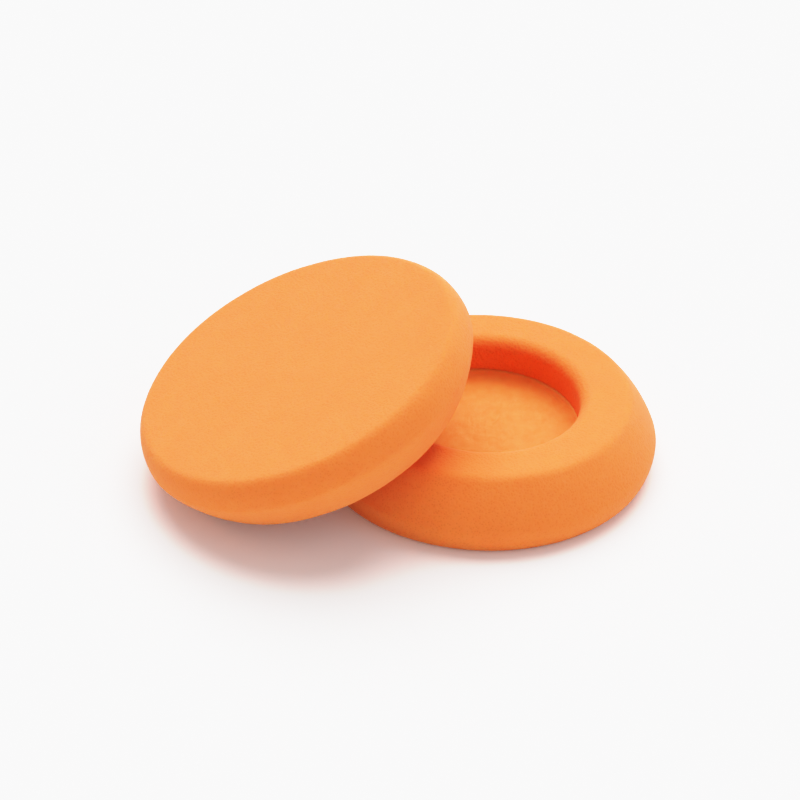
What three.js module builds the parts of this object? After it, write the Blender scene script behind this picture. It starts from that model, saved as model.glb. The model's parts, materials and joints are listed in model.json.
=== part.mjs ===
// A stacked pair of round foam polishing pads with recessed backs, in millimetres, +Z up.
// One pad lies on its working face, back up. The other leans on its rim with the working face up.
// The origin is the centre of the lying pad's working face, on the surface that the pair rests on.
import * as THREE from 'three';

// Foam body: a disc with a wide working face, whose side tapers in to a narrower recessed back.
const FACE_RADIUS = 51;
const FACE_EDGE_ACROSS = 4.1;
const FACE_EDGE_ALONG = 8.5;
const THICKNESS = 21.8;
const BACK_RADIUS = 43.2;
const BACK_EDGE = 2;
const SIDE_BULGE = 0.6;
const MOUTH_RADIUS = 28;
const MOUTH_LIP = 3;
const RECESS_FLOOR = 7;

// What lies in the recess: a film of adhesive, and the loop disc that it bonds to the foam.
const STACK_GAP = 0.3;
const FILM_RADIUS = 27.1;
const FILM_THICKNESS = 0.25;
const LOOP_RADIUS = 27.5;
const LOOP_THICKNESS = 1.1;

// How the second pad leans: where its face's centre is, how far the face tips, and to which side.
const LEAN_CENTRE = [-54.7, -9.5];
const LEAN_TILT = THREE.MathUtils.degToRad(22.9);
const LEAN_AZIMUTH = THREE.MathUtils.degToRad(191);

const SEGMENTS = 64;
const CURVE_STEPS = 4;

const foam = new THREE.MeshStandardMaterial({ color: '#f0a05a', roughness: 0.95, metalness: 0 });
const loops = new THREE.MeshStandardMaterial({ color: '#ef9a4f', roughness: 1, metalness: 0 });
const adhesive = new THREE.MeshStandardMaterial({ color: '#e9dcc0', roughness: 0.5, metalness: 0 });

// The point a given distance before the back's corner, along the straight line up the side.
function sideEnd() {
  const corner = new THREE.Vector2(BACK_RADIUS, THICKNESS);
  const start = new THREE.Vector2(FACE_RADIUS, FACE_EDGE_ALONG);
  const down = start.clone().sub(corner).normalize();
  return corner.addScaledVector(down, BACK_EDGE);
}

// A control point that makes a curve from one point to another bulge outwards by SIDE_BULGE.
function bulgeControl(from, to) {
  const along = to.clone().sub(from).normalize();
  const outwards = new THREE.Vector2(along.y, -along.x);
  return from.clone().add(to).multiplyScalar(0.5).addScaledVector(outwards, 2 * SIDE_BULGE);
}

// Half the foam's section, from the centre of the working face round to the centre of the recess.
function foamProfile() {
  const sideStart = new THREE.Vector2(FACE_RADIUS, FACE_EDGE_ALONG);
  const sideTop = sideEnd();
  const bulge = bulgeControl(sideStart, sideTop);
  const flatRadius = FACE_RADIUS - FACE_EDGE_ACROSS;
  const lipRadius = MOUTH_RADIUS + MOUTH_LIP;
  const path = new THREE.Path();
  path.moveTo(0, 0);
  path.lineTo(flatRadius, 0);
  path.absellipse(flatRadius, FACE_EDGE_ALONG, FACE_EDGE_ACROSS, FACE_EDGE_ALONG, -Math.PI / 2, 0);
  path.quadraticCurveTo(bulge.x, bulge.y, sideTop.x, sideTop.y);
  path.quadraticCurveTo(BACK_RADIUS, THICKNESS, BACK_RADIUS - BACK_EDGE, THICKNESS);
  path.lineTo(lipRadius, THICKNESS);
  path.absarc(lipRadius, THICKNESS - MOUTH_LIP, MOUTH_LIP, Math.PI / 2, Math.PI);
  path.lineTo(MOUTH_RADIUS, RECESS_FLOOR);
  path.lineTo(0, RECESS_FLOOR);
  return path.getPoints(CURVE_STEPS);
}

// Half the section of a flat disc that starts at the given height.
function discProfile(radius, bottom, thickness) {
  const top = bottom + thickness;
  return [[0, bottom], [radius, bottom], [radius, top], [0, top]].map(([r, z]) => new THREE.Vector2(r, z));
}

// A solid turned about +Z.
function turned(name, profile, material) {
  const geometry = new THREE.LatheGeometry(profile, SEGMENTS).rotateX(Math.PI / 2);
  const mesh = new THREE.Mesh(geometry, material);
  mesh.name = name;
  return mesh;
}

// One pad in its own frame: working face down at z = 0, recess up.
function makePad(name) {
  const filmBottom = RECESS_FLOOR + STACK_GAP;
  const loopBottom = filmBottom + FILM_THICKNESS + STACK_GAP;
  const pad = new THREE.Group();
  pad.add(turned(`${name}_foam`, foamProfile(), foam));
  pad.add(turned(`${name}_adhesive_film`, discProfile(FILM_RADIUS, filmBottom, FILM_THICKNESS), adhesive));
  pad.add(turned(`${name}_loop_disc`, discProfile(LOOP_RADIUS, loopBottom, LOOP_THICKNESS), loops));
  return pad;
}

// The height of a tipped pad's face centre when the lowest point of its foam touches z = 0.
function restingHeight(tilt) {
  const depths = foamProfile().map((point) => point.y * Math.cos(tilt) + point.x * Math.sin(tilt));
  return Math.max(...depths);
}

const pair = new THREE.Group();
pair.add(makePad('lying_pad'));

const leaning = makePad('leaning_pad');
leaning.position.set(...LEAN_CENTRE, restingHeight(LEAN_TILT));
leaning.rotation.set(0, Math.PI + LEAN_TILT, LEAN_AZIMUTH, 'ZYX');
pair.add(leaning);

export default pair;
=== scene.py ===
"""Two foam polishing pads with recessed backs: one lies back up, the other leans on its rim."""

import json
import math

import bpy
import numpy as np
from mathutils import Matrix, Quaternion, Vector, noise


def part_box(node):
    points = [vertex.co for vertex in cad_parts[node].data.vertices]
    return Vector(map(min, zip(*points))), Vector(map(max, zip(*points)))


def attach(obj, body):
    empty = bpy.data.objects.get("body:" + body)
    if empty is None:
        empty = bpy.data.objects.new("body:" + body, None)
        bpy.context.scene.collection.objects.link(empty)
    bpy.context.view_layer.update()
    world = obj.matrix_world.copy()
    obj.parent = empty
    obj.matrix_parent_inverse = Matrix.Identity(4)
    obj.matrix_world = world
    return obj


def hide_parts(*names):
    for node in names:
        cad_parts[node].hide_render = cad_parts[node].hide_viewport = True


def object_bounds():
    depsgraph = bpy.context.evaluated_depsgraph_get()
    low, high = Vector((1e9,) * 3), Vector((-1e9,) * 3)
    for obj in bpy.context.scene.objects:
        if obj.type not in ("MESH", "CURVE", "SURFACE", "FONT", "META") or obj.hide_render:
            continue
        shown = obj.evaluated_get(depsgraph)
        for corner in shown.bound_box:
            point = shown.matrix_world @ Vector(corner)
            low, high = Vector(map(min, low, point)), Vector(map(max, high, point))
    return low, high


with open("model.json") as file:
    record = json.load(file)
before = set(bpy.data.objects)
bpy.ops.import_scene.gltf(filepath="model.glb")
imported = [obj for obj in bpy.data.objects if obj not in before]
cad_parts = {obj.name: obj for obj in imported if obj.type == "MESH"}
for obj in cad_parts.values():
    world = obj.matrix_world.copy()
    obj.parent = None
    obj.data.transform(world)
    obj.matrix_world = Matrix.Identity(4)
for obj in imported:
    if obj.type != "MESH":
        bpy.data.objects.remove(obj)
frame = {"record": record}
cad_low, cad_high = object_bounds()

MM = 0.001

# The foam's section, in millimetres. Its radius, thickness and recess come from the CAD nodes.
FACE_EDGE_ACROSS = 4.1
FACE_EDGE_ALONG = 8.5
BACK_RADIUS = 43.2
BACK_EDGE = 2.0
SIDE_BULGE = 0.6
MOUTH_GAP = 0.5
MOUTH_LIP = 3.8
RECESS_FLOOR = 7.0
SECTION_SOFTNESS = 0.45

LYING_SEED, LEANING_SEED = 1, 2

# The photograph's camera: a point it looks at on the floor, where it stands, and its lens.
CAMERA_TARGET = Vector((-0.0246, 0.0268, 0.0))
CAMERA_DISTANCE = 0.7199
CAMERA_ELEVATION = math.radians(34.17)
CAMERA_ROLL = math.radians(1.17)
CAMERA_LENS = 105.7


# ---------------------------------------------------------------- pads' own frames

def pad_matrix(name):
    """From a pad's own frame, working face down at z = 0, to the row frame."""
    mounts = {m["name"]: m for m in frame["record"]["mounts"]}
    face = mounts[f"{name}_working_face"]
    back = -Vector(face["axis"]).normalized()
    upright = abs(back.z) > 0.99
    side = Vector((1, 0, 0)) if upright else Vector((0, 0, 1)).cross(back).normalized()
    rotation = Matrix((side, back.cross(side), back)).transposed().to_4x4()
    return Matrix.Translation(face["pos_m"]) @ rotation


def node_size(node):
    """Radius and height of a node that lies flat, and the height of its top, in millimetres."""
    low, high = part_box(node)
    return (high.x - low.x) / 2 / MM, (high.z - low.z) / MM, high.z / MM


FACE_RADIUS, THICKNESS, _ = node_size("lying_pad_foam")
LOOP_RADIUS, LOOP_THICKNESS, LOOP_TOP = node_size("lying_pad_loop_disc")
FILM_RADIUS, FILM_THICKNESS, FILM_TOP = node_size("lying_pad_adhesive_film")
MOUTH_RADIUS = LOOP_RADIUS + MOUTH_GAP


# ---------------------------------------------------------------- the foam's section

def bezier(start, control, end, steps=24):
    """Points of a quadratic curve, without its last one."""
    t = np.linspace(0, 1, steps, endpoint=False)[:, None]
    return (1 - t) ** 2 * np.array(start) + 2 * t * (1 - t) * np.array(control) + t**2 * np.array(end)


def arc(centre, across, along, first, last, steps=24):
    """Points of an elliptical arc, without its last one. Angles are in degrees."""
    a = np.radians(np.linspace(first, last, steps, endpoint=False))
    return np.stack([centre[0] + across * np.cos(a), centre[1] + along * np.sin(a)], 1)


def foam_section(count=1200):
    """Evenly spaced points (r, z) from the working face's centre round to the recess floor's centre."""
    corner = np.array((BACK_RADIUS, THICKNESS))
    low = np.array((FACE_RADIUS, FACE_EDGE_ALONG))
    slope = (low - corner) / np.linalg.norm(low - corner)
    top = corner + slope * BACK_EDGE
    outwards = np.array((-slope[1], slope[0]))
    bulge = (low + top) / 2 + outwards * 2 * SIDE_BULGE
    flat = FACE_RADIUS - FACE_EDGE_ACROSS
    lip = MOUTH_RADIUS + MOUTH_LIP
    points = np.vstack([
        [(0, 0)],
        arc((flat, FACE_EDGE_ALONG), FACE_EDGE_ACROSS, FACE_EDGE_ALONG, -90, 0),
        bezier(low, bulge, top),
        bezier(top, corner, (BACK_RADIUS - BACK_EDGE, THICKNESS)),
        arc((lip, THICKNESS - MOUTH_LIP), MOUTH_LIP, MOUTH_LIP, 90, 180),
        [(MOUTH_RADIUS, THICKNESS - MOUTH_LIP), (MOUTH_RADIUS, RECESS_FLOOR), (0, RECESS_FLOOR)],
    ])
    step = np.linalg.norm(np.diff(points, axis=0), axis=1)
    length = np.concatenate([[0], np.cumsum(step)])
    s = np.linspace(0, length[-1], count)
    section = np.stack([np.interp(s, length, points[:, i]) for i in (0, 1)], 1)
    return soften(section, SECTION_SOFTNESS / (length[-1] / count))


def soften(section, width):
    """Rounds a section's corners over a width in points, and keeps its two ends on the axis."""
    reach = int(4 * width)
    weights = np.exp(-0.5 * (np.arange(-reach, reach + 1) / width) ** 2)
    weights /= weights.sum()
    mirror = np.array((-1, 1))
    before = section[1 : reach + 1][::-1] * mirror
    after = section[-reach - 1 : -1][::-1] * mirror
    padded = np.vstack([before, section, after])
    return np.stack([np.convolve(padded[:, i], weights, "valid") for i in (0, 1)], 1)


def turned_normals(section):
    """The outward unit normal (r, z) at each point of a section."""
    along = np.gradient(section, axis=0)
    normal = np.stack([along[:, 1], -along[:, 0]], 1)
    return normal / np.linalg.norm(normal, axis=1)[:, None]


# ---------------------------------------------------------------- meshes

def cube_sphere(cells):
    """Directions and quads of a sphere made of six square grids with evenly angled cells."""
    steps = np.tan(np.linspace(-math.pi / 4, math.pi / 4, cells + 1))
    u, v = np.meshgrid(steps, steps, indexing="ij")
    one = np.ones_like(u)
    sides = [(one, u, v), (-one, v, u), (u, v, one), (v, u, -one), (v, one, u), (u, -one, v)]
    points = np.concatenate([np.stack(side, -1).reshape(-1, 3) for side in sides])
    points /= np.linalg.norm(points, axis=1)[:, None]
    index = np.arange((cells + 1) ** 2).reshape(cells + 1, cells + 1)
    quad = np.stack([index[:-1, :-1], index[1:, :-1], index[1:, 1:], index[:-1, 1:]], -1).reshape(-1, 4)
    quads = np.concatenate([quad + k * (cells + 1) ** 2 for k in range(6)])
    merged, inverse = np.unique(np.round(points, 7), axis=0, return_inverse=True)
    return merged / np.linalg.norm(merged, axis=1)[:, None], inverse.reshape(-1)[quads]


def add_mesh(name, points, faces, matrix):
    """A mesh object from points in millimetres in a pad's own frame."""
    mesh = bpy.data.meshes.new(name)
    mesh.from_pydata([matrix @ (Vector(p) * MM) for p in points], [], [tuple(f) for f in faces])
    mesh.validate()
    mesh.polygons.foreach_set("use_smooth", [True] * len(mesh.polygons))
    mesh.update()
    piece = bpy.data.objects.new(name, mesh)
    bpy.context.scene.collection.objects.link(piece)
    return piece


def ripple(points, size, seed, octaves=2):
    """Smooth noise of about -1 to 1 at each point, whose features are size across."""
    offset = Vector((seed * 31.7, seed * 17.3, seed * 9.1))
    return np.array([noise.fractal(Vector(p) / size + offset, 1.0, 2.0, octaves) for p in points])


def pits(points, size, seed):
    """From 0 on the walls between cells to 1 at the middle of each cell, for cells size across."""
    offset = Vector((seed * 13.1, seed * 7.7, seed * 3.3))
    near = np.array([noise.voronoi(Vector(p) / size + offset)[0][:2] for p in points])
    return np.clip((near[:, 1] - near[:, 0]) * PIT_STEEPNESS, 0, 1)


FOAM_CELLS = 122
PIT_STEEPNESS = 1.6
UNDULATION, UNDULATION_SIZE = 0.10, 17
GRAIN, GRAIN_SIZE = 0.014, 1.3
FACE_PORES, SIDE_PORES, PORE_SIZE = 0.015, 0.10, 1.2


def foam_body(name, seed):
    """The moulded foam body: a turned form with soft corners, a slightly uneven skin and open pores."""
    section = foam_section()
    normals = turned_normals(section)
    directions, quads = cube_sphere(FOAM_CELLS)
    polar = np.arccos(np.clip(-directions[:, 2], -1, 1)) / math.pi
    where = polar * (len(section) - 1)
    index = np.arange(len(section))
    r, z = (np.interp(where, index, section[:, i]) for i in (0, 1))
    nr, nz = (np.interp(where, index, normals[:, i]) for i in (0, 1))
    flat = np.hypot(directions[:, 0], directions[:, 1])
    cosine = np.where(flat > 1e-9, directions[:, 0] / np.maximum(flat, 1e-9), 1)
    sine = np.where(flat > 1e-9, directions[:, 1] / np.maximum(flat, 1e-9), 0)
    points = np.stack([r * cosine, r * sine, z], 1)
    outward = np.stack([nr * cosine, nr * sine, nz], 1)
    sideways = np.abs(nr)
    shift = UNDULATION * ripple(points, UNDULATION_SIZE, seed)
    shift += GRAIN * (0.3 + 0.7 * sideways) * ripple(points, GRAIN_SIZE, seed + 5)
    pore_depth = FACE_PORES + (SIDE_PORES - FACE_PORES) * sideways
    shift -= pore_depth * pits(points, PORE_SIZE, seed + 9)
    points += outward * shift[:, None]
    if seed == LYING_SEED:
        points[:, 2] = np.maximum(points[:, 2], 0)
    return add_mesh(f"{name}_moulded_foam", points, quads, pad_matrix(name))


# How the loop disc's rim turns up the recess wall, in millimetres.
RIM_RISE = 2.6
RIM_WIDTH = 4.2


def turned_up(x, y, radius):
    """How far the disc's rim rides up the recess wall at a point."""
    inwards = radius - np.hypot(x, y)
    return RIM_RISE * np.clip(1 - inwards / RIM_WIDTH, 0, 1) ** 3


# The pucker near the disc's middle, in millimetres.
GROOVE_DEPTH, GROOVE_X, GROOVE_Y = 0.55, 3.5, 6.0
FOLD_DEPTH, FOLD_RADIUS, FOLD_X, FOLD_Y = 0.12, 9.0, 2.5, 1.0
FOLD_OFFSET = 7.5


def crease(x, y):
    """How deep the disc is puckered at a point: a short groove and a faint curved fold beside it."""
    across, along = x - GROOVE_X, y - GROOVE_Y
    bend = 1.2 * np.sin(along / 3.2)
    groove = np.exp(-(((across - bend) / 0.8) ** 2) - (along / 4.0) ** 2)
    off_arc = np.hypot(x - FOLD_X, y - FOLD_Y) - FOLD_RADIUS
    off_middle = x + y + FOLD_OFFSET
    fold = np.exp(-((off_arc / 1.1) ** 2) - (off_middle / 7.0) ** 2)
    return GROOVE_DEPTH * groove + FOLD_DEPTH * fold


# The loop disc's pile, in millimetres: each loop's two ends are sunk into the ground fabric,
# and the disc's rim reaches a little way into the recess wall. LOOP_STAND is a share of the height.
LOOP_PITCH = 0.66
FIBRE = 0.07
LOOP_HEIGHT = 0.24
LOOP_HALF_WIDTH = 0.21
LOOP_STEPS = 4
FIBRE_SIDES = 3
LOOP_SINK = 0.06
LOOP_STAND = 0.86
GROUND_LIFT = 0.02
BARE_RIM = 0.3
RIM_OVERLAP = 0.08


def fabric_rise(x, y, radius):
    """How far the disc stands above its flat plane at a point, in millimetres."""
    return float(turned_up(x, y, radius) - crease(x, y))


def loop_disc(name, seed):
    """The knitted loop disc: a ground fabric, pressed into the recess, with a pile of small loops."""
    rng = np.random.default_rng(seed)
    radius = MOUTH_RADIUS + RIM_OVERLAP
    ground = LOOP_TOP - LOOP_HEIGHT + GROUND_LIFT
    points, faces = ground_fabric(radius, LOOP_TOP - LOOP_THICKNESS, ground)
    columns = int(radius / LOOP_PITCH) + 1
    row_pitch = LOOP_PITCH * math.sqrt(0.75)
    rows = int(radius / row_pitch) + 1
    for j in range(-rows, rows + 1):
        for i in range(-columns, columns + 1):
            x, y = ((i + 0.5 * (j % 2)) * LOOP_PITCH, j * row_pitch) + rng.normal(0, 0.08, 2)
            turn, lean, size = rng.uniform(0, 2 * math.pi), rng.normal(0, 0.35), rng.uniform(0.8, 1.15)
            if math.hypot(x, y) < radius - BARE_RIM:
                tube, sides = one_loop(turn, lean, size)
                tube += (x, y, ground + fabric_rise(x, y, radius) - LOOP_SINK)
                faces.extend([[corner + len(points) for corner in side] for side in sides])
                points.extend(tube.tolist())
    return add_mesh(f"{name}_loop_fabric", points, faces, pad_matrix(name))


def ground_fabric(radius, bottom, top):
    """Points and faces of the disc under the pile."""
    rings, spokes = 52, 150
    points, faces = [(0, 0, bottom), (0, 0, top + fabric_rise(0, 0, radius))], []
    turns = [2 * math.pi * s / spokes for s in range(spokes)]
    for k in range(1, rings + 1):
        for a in turns:
            x, y = radius * k / rings * math.cos(a), radius * k / rings * math.sin(a)
            points.append((x, y, top + fabric_rise(x, y, radius)))
    rim = len(points)
    points += [(radius * math.cos(a), radius * math.sin(a), bottom) for a in turns]
    for s in range(spokes):
        n = (s + 1) % spokes
        faces.append((1, 2 + s, 2 + n))
        faces.append((0, rim + n, rim + s))
        faces.append((rim - spokes + s, rim + s, rim + n, rim - spokes + n))
        for k in range(rings - 1):
            a, b = 2 + k * spokes, 2 + (k + 1) * spokes
            faces.append((a + s, b + s, b + n, a + n))
    return [tuple(map(float, p)) for p in points], faces


def one_loop(turn, lean, size):
    """Points and faces of one loop of yarn, closed at both ends, standing at the origin."""
    t = np.linspace(0, math.pi, LOOP_STEPS + 1)
    rise = LOOP_HEIGHT * size * np.sin(t)
    path = np.stack([LOOP_HALF_WIDTH * size * np.cos(t), rise * lean, rise * LOOP_STAND], 1)
    out = np.stack([np.cos(t), 0 * t, np.sin(t)], 1)
    side = np.array((0, 1, 0))
    a = np.arange(FIBRE_SIDES) * 2 * math.pi / FIBRE_SIDES
    around = np.cos(a)[None, :, None] * out[:, None] + np.sin(a)[None, :, None] * side
    tube = (path[:, None] + FIBRE * around).reshape(-1, 3)
    c, s = math.cos(turn), math.sin(turn)
    tube = tube @ np.array(((c, s, 0), (-s, c, 0), (0, 0, 1)))
    k, n = np.meshgrid(np.arange(LOOP_STEPS), np.arange(FIBRE_SIDES), indexing="ij")
    m = (n + 1) % FIBRE_SIDES
    below, above = k * FIBRE_SIDES, (k + 1) * FIBRE_SIDES
    walls = np.stack([below + n, below + m, above + m, above + n], -1).reshape(-1, 4)
    first_end = list(range(FIBRE_SIDES))[::-1]
    last_end = list(range(len(tube) - FIBRE_SIDES, len(tube)))
    return tube, walls.tolist() + [first_end, last_end]


def adhesive_film(name, seed):
    """The hot-melt film under the loop disc: a thin wavy sheet with an uneven edge."""
    rng = np.random.default_rng(seed)
    spokes, rings = 120, 10
    turns = np.linspace(0, 2 * math.pi, spokes, endpoint=False)
    swing = sum(0.12 * np.sin(waves * turns + rng.uniform(0, 6)) for waves in (3, 7, 13))
    bottom, top = FILM_TOP - FILM_THICKNESS, FILM_TOP
    points, faces = [(0, 0, bottom), (0, 0, top)], []
    for level in (bottom, top):
        for k in range(1, rings + 1):
            for a, swung in zip(turns, swing):
                reach = (FILM_RADIUS - 0.4 + swung) * k / rings
                lift = 0.05 * math.sin(a * 5 + k)
                points.append((reach * math.cos(a), reach * math.sin(a), level + lift))
    upper = 2 + rings * spokes
    for s in range(spokes):
        n = (s + 1) % spokes
        faces.append((0, 2 + n, 2 + s))
        faces.append((1, upper + s, upper + n))
        last = (rings - 1) * spokes
        faces.append((2 + last + s, 2 + last + n, upper + last + n, upper + last + s))
        for k in range(rings - 1):
            a, b = k * spokes, (k + 1) * spokes
            faces.append((2 + a + s, 2 + a + n, 2 + b + n, 2 + b + s))
            faces.append((upper + a + s, upper + b + s, upper + b + n, upper + a + n))
    return add_mesh(f"{name}_hot_melt_film", points, faces, pad_matrix(name))


# ---------------------------------------------------------------- materials

def new_material(name):
    """An empty node material with one shader."""
    material = bpy.data.materials.new(name)
    material.use_nodes = True
    nodes = material.node_tree.nodes
    nodes.clear()
    output = nodes.new("ShaderNodeOutputMaterial")
    shader = nodes.new("ShaderNodeBsdfPrincipled")
    material.node_tree.links.new(shader.outputs["BSDF"], output.inputs["Surface"])
    return material, nodes, material.node_tree.links, shader


def in_millimetres(nodes, links):
    """The piece's own coordinates, in millimetres."""
    place = nodes.new("ShaderNodeTexCoord")
    scale = nodes.new("ShaderNodeVectorMath")
    scale.operation = "SCALE"
    scale.inputs["Scale"].default_value = 1 / MM
    links.new(place.outputs["Object"], scale.inputs[0])
    return scale.outputs["Vector"]


def noise_node(nodes, links, place, size, detail=3.0, roughness=0.5):
    """Noise from 0 to 1 whose features are size millimetres across."""
    node = nodes.new("ShaderNodeTexNoise")
    node.inputs["Scale"].default_value = 1 / size
    node.inputs["Detail"].default_value = detail
    node.inputs["Roughness"].default_value = roughness
    links.new(place, node.inputs["Vector"])
    return node.outputs["Fac"]


def cells_node(nodes, links, place, size):
    """Distance inside cells of the given size in millimetres."""
    node = nodes.new("ShaderNodeTexVoronoi")
    node.inputs["Scale"].default_value = 1 / size
    links.new(place, node.inputs["Vector"])
    return node.outputs["Distance"]


def ramp(nodes, links, value, stops):
    """A colour ramp over (position, colour) stops."""
    node = nodes.new("ShaderNodeValToRGB")
    elements = node.color_ramp.elements
    while len(elements) < len(stops):
        elements.new(0.5)
    for element, (position, colour) in zip(elements, stops):
        element.position = position
        element.color = (*colour, 1)
    links.new(value, node.inputs["Fac"])
    return node.outputs["Color"]


def mix(nodes, links, factor, a, b, blend):
    """Mixes two colours, each a socket or a constant, in the given blend mode."""
    node = nodes.new("ShaderNodeMix")
    node.data_type = "RGBA"
    node.blend_type = blend
    for socket, value in ((node.inputs["Factor"], factor), (node.inputs["A"], a), (node.inputs["B"], b)):
        if isinstance(value, bpy.types.NodeSocket):
            links.new(value, socket)
        else:
            socket.default_value = value
    return [o for o in node.outputs if o.type == "RGBA"][0]


def bump(nodes, links, height, distance, strength, under=None):
    """A normal from a height, for a relief of the given depth in millimetres, over another normal."""
    node = nodes.new("ShaderNodeBump")
    node.inputs["Distance"].default_value = distance * MM
    node.inputs["Strength"].default_value = strength
    links.new(height, node.inputs["Height"])
    if under is not None:
        links.new(under, node.inputs["Normal"])
    return node.outputs["Normal"]


FOAM_COLOUR = (0.905, 0.246, 0.070)
LOOP_COLOUR = (0.92, 0.302, 0.084)


def tint(colour, red, green, blue):
    """A colour with each channel scaled and kept within 1."""
    return tuple(min(1.0, c * k) for c, k in zip(colour, (red, green, blue)))


def foam_material():
    """Fine open-cell polyurethane foam: matte, slightly mottled, with painted shade darkening its pores,
    lit through near its surface.
    """
    material, nodes, links, shader = new_material("orange_polyurethane_foam")
    place = in_millimetres(nodes, links)
    mottle = noise_node(nodes, links, place, 6.0, 3.0)
    colour = ramp(nodes, links, mottle, [
        (0.3, tint(FOAM_COLOUR, 0.995, 0.975, 0.96)),
        (0.7, tint(FOAM_COLOUR, 1.005, 1.025, 1.04)),
    ])
    cells = cells_node(nodes, links, place, 0.75)
    # Painted shade: the colour is darkened and reddened towards each cell's middle, as shade falling
    # into the pores.
    pores = ramp(nodes, links, cells, [(0.0, (0.84, 0.72, 0.66)), (0.4, (1.0, 1.0, 1.0))])
    shader_colour = mix(nodes, links, 0.75, colour, pores, "MULTIPLY")
    links.new(shader_colour, shader.inputs["Base Color"])
    rough = ramp(nodes, links, mottle, [(0.0, (0.86,) * 3), (1.0, (0.98,) * 3)])
    links.new(rough, shader.inputs["Roughness"])
    fine = noise_node(nodes, links, place, 0.35, 2.0)
    normal = bump(nodes, links, fine, 0.08, 0.5)
    normal = bump(nodes, links, cells, 0.2, 0.5, normal)
    links.new(normal, shader.inputs["Normal"])
    shader.inputs["IOR"].default_value = 1.45
    shader.inputs["Specular IOR Level"].default_value = 0.5
    shader.inputs["Subsurface Weight"].default_value = 0.35
    shader.inputs["Subsurface Radius"].default_value = (1.0, 0.28, 0.10)
    shader.inputs["Subsurface Scale"].default_value = 2.5 * MM
    shader.inputs["Sheen Weight"].default_value = 0.06
    shader.inputs["Sheen Roughness"].default_value = 0.55
    shader.inputs["Sheen Tint"].default_value = (1.0, 0.82, 0.66, 1)
    return material


def loop_material():
    """Dyed polyester loops in the foam's colour."""
    material, nodes, links, shader = new_material("orange_loop_fabric")
    place = in_millimetres(nodes, links)
    patch = noise_node(nodes, links, place, 3.0, 3.0)
    colour = ramp(nodes, links, patch, [
        (0.3, tint(LOOP_COLOUR, 0.99, 0.93, 0.86)),
        (0.7, tint(LOOP_COLOUR, 1.0, 1.08, 1.12)),
    ])
    links.new(colour, shader.inputs["Base Color"])
    fibre = noise_node(nodes, links, place, 0.12, 1.0)
    rough = ramp(nodes, links, fibre, [(0.0, (0.7,) * 3), (1.0, (0.9,) * 3)])
    links.new(rough, shader.inputs["Roughness"])
    links.new(bump(nodes, links, fibre, 0.03, 0.5), shader.inputs["Normal"])
    shader.inputs["Specular IOR Level"].default_value = 0.5
    shader.inputs["Subsurface Weight"].default_value = 0.3
    shader.inputs["Subsurface Radius"].default_value = (1.0, 0.3, 0.1)
    shader.inputs["Subsurface Scale"].default_value = 1.0 * MM
    shader.inputs["Sheen Weight"].default_value = 0.15
    shader.inputs["Sheen Roughness"].default_value = 0.4
    shader.inputs["Sheen Tint"].default_value = (1.0, 0.8, 0.6, 1)
    return material


def film_material():
    """Hot-melt adhesive: cloudy, pale and slightly glossy."""
    material, nodes, links, shader = new_material("hot_melt_adhesive")
    place = in_millimetres(nodes, links)
    cloud = noise_node(nodes, links, place, 4.0, 2.0)
    colour = ramp(nodes, links, cloud, [(0.3, (0.78, 0.70, 0.52)), (0.7, (0.86, 0.80, 0.66))])
    links.new(colour, shader.inputs["Base Color"])
    rough = ramp(nodes, links, cloud, [(0.0, (0.35,) * 3), (1.0, (0.55,) * 3)])
    links.new(rough, shader.inputs["Roughness"])
    return material


# ---------------------------------------------------------------- stage, light and camera

FLOOR_RADIUS = 12


def make_floor():
    """A wide pale floor under the pads, in metres."""
    bpy.ops.mesh.primitive_circle_add(vertices=96, radius=FLOOR_RADIUS, fill_type="NGON")
    floor = bpy.context.object
    floor.location.z = cad_low.z
    floor.name = "floor"
    material, nodes, links, shader = new_material("pale_floor")
    shader.inputs["Base Color"].default_value = (0.87, 0.87, 0.87, 1)
    shader.inputs["Roughness"].default_value = 0.9
    shader.inputs["Specular IOR Level"].default_value = 0.1
    shader.inputs["Emission Color"].default_value = (1, 1, 1, 1)
    shader.inputs["Emission Strength"].default_value = 0.07
    floor.data.materials.append(material)


def add_sun(name, azimuth, elevation, strength, softness):
    """A soft directional light from an azimuth: 0 is the camera's side and 90 the right."""
    light = bpy.data.lights.new(name, "SUN")
    light.energy = strength
    light.angle = math.radians(softness)
    lamp = bpy.data.objects.new(name, light)
    bpy.context.scene.collection.objects.link(lamp)
    a, e = math.radians(azimuth), math.radians(elevation)
    source = Vector((math.sin(a) * math.cos(e), -math.cos(a) * math.cos(e), math.sin(e)))
    lamp.rotation_mode = "QUATERNION"
    lamp.rotation_quaternion = source.to_track_quat("Z", "Y")


# How scene light becomes picture light, both linear: a toe deepens shade, a shoulder starts at a knee.
TONE_WHITE = 1.7
TONE_STEPS = 20
TOE_DEPTH = 0.53
TOE_WIDTH = 0.15
KNEE = 0.8
SHOULDER = 0.42


def tone(light):
    """Picture light for an amount of scene light."""
    shaded = light * (1 - TOE_DEPTH * math.exp(-((light / TOE_WIDTH) ** 2)))
    if shaded <= KNEE:
        return shaded
    room = 1 - KNEE
    return KNEE + room * (1 - math.exp(-SHOULDER * (shaded - KNEE) / room))


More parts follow.
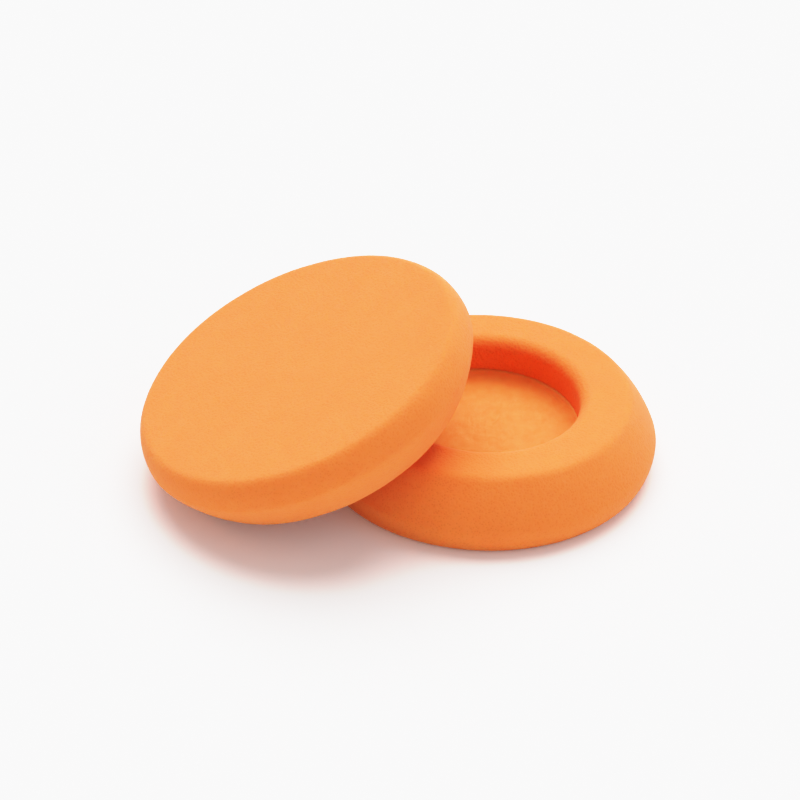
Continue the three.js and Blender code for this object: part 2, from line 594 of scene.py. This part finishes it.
def set_tone_curve():
    """Puts the tone formula over the standard transform, with steps that are finer in the shade."""
    settings = bpy.context.scene.view_settings
    settings.view_transform = "Standard"
    settings.use_curve_mapping = True
    mapping = settings.curve_mapping
    mapping.use_clip = False
    mapping.white_level = (TONE_WHITE,) * 3
    curve = mapping.curves[3]
    places = [(step / TONE_STEPS) ** 2 for step in range(TONE_STEPS + 1)]
    while len(curve.points) < len(places):
        curve.points.new(0.5, 0.5)
    for point, place in zip(curve.points, places):
        point.location = (place, tone(place * TONE_WHITE))
    mapping.update()


def make_lights():
    """One large soft light from high behind, a weak one from the right, and a pale surrounding."""
    world = bpy.data.worlds.new("studio")
    bpy.context.scene.world = world
    world.use_nodes = True
    background = world.node_tree.nodes["Background"]
    background.inputs["Color"].default_value = (1, 1, 1, 1)
    background.inputs["Strength"].default_value = 0.52
    add_sun("main_softbox", 177, 62, 3.6, 60)
    add_sun("right_softbox", 75, 30, 0.35, 60)
    set_tone_curve()


def make_camera():
    """The photograph's view: from the front, above the floor and turned a little about its own axis."""
    camera = bpy.data.objects.new("camera", bpy.data.cameras.new("camera"))
    bpy.context.scene.collection.objects.link(camera)
    back = Vector((0, -math.cos(CAMERA_ELEVATION), math.sin(CAMERA_ELEVATION)))
    camera.location = CAMERA_TARGET + back * CAMERA_DISTANCE
    camera.rotation_mode = "QUATERNION"
    camera.rotation_quaternion = (-back).to_track_quat("-Z", "Y") @ Quaternion((0, 0, 1), CAMERA_ROLL)
    camera.data.lens = CAMERA_LENS
    camera.data.sensor_width = 36
    camera.data.clip_start = 0.01
    camera.data.clip_end = 50
    bpy.context.scene.camera = camera


# ---------------------------------------------------------------- assembly

def finish_piece(piece, material, body, node):
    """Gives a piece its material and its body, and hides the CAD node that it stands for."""
    piece.data.materials.append(material)
    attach(piece, body)
    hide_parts(node)


make_camera()
foam, loops, film = foam_material(), loop_material(), film_material()
for pad, seed in (("lying_pad", LYING_SEED), ("leaning_pad", LEANING_SEED)):
    body = foam_body(pad, seed)
    finish_piece(body, foam, pad, f"{pad}_foam")
    finish_piece(loop_disc(pad, seed), loops, pad, f"{pad}_loop_disc")
    finish_piece(adhesive_film(pad, seed), film, pad, f"{pad}_adhesive_film")
make_floor()
make_lights()
